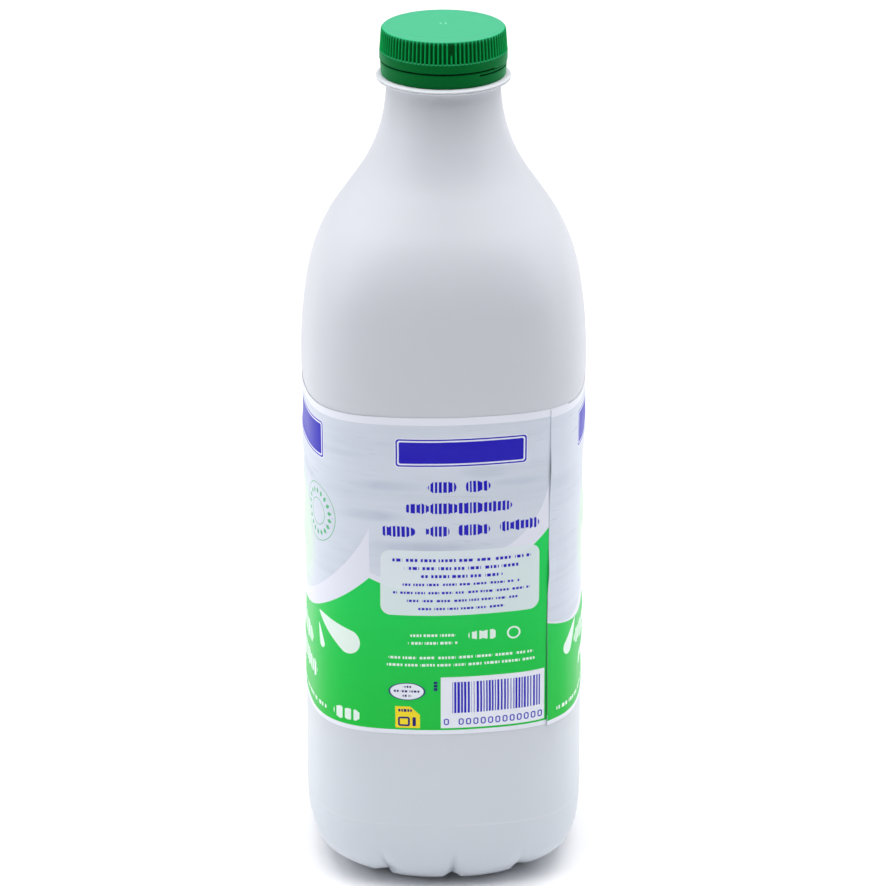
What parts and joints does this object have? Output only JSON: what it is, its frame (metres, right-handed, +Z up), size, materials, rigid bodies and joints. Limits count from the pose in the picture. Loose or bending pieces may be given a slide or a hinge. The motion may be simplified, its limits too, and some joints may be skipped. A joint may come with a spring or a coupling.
{
  "type": "plastic milk bottle",
  "caption": "Full, shut milk bottle of opaque white plastic: rounded-square body, round neck with a support ring, ribbed green screw cap and a printed wrap-round label.",
  "frame": {"origin": "middle of the base, in the plane that the bottle stands on", "axes": "+Z up along the bottle's axis; the body's flat sides face the X and Y axes, and the shown side faces -Y"},
  "size_m": [0.0912, 0.0912, 0.28],
  "materials": {
    "bottle_plastic": "opaque cool white, satin gloss",
    "cap_plastic": "moulded green, satin gloss",
    "label_print": "coated paper, printed in pale grey, green, deep blue and white"
  },
  "bodies": {
    "root": {"bottle": "bottle_plastic", "cap": "cap_plastic", "label": "label_print"}
  },
  "joints": []
}
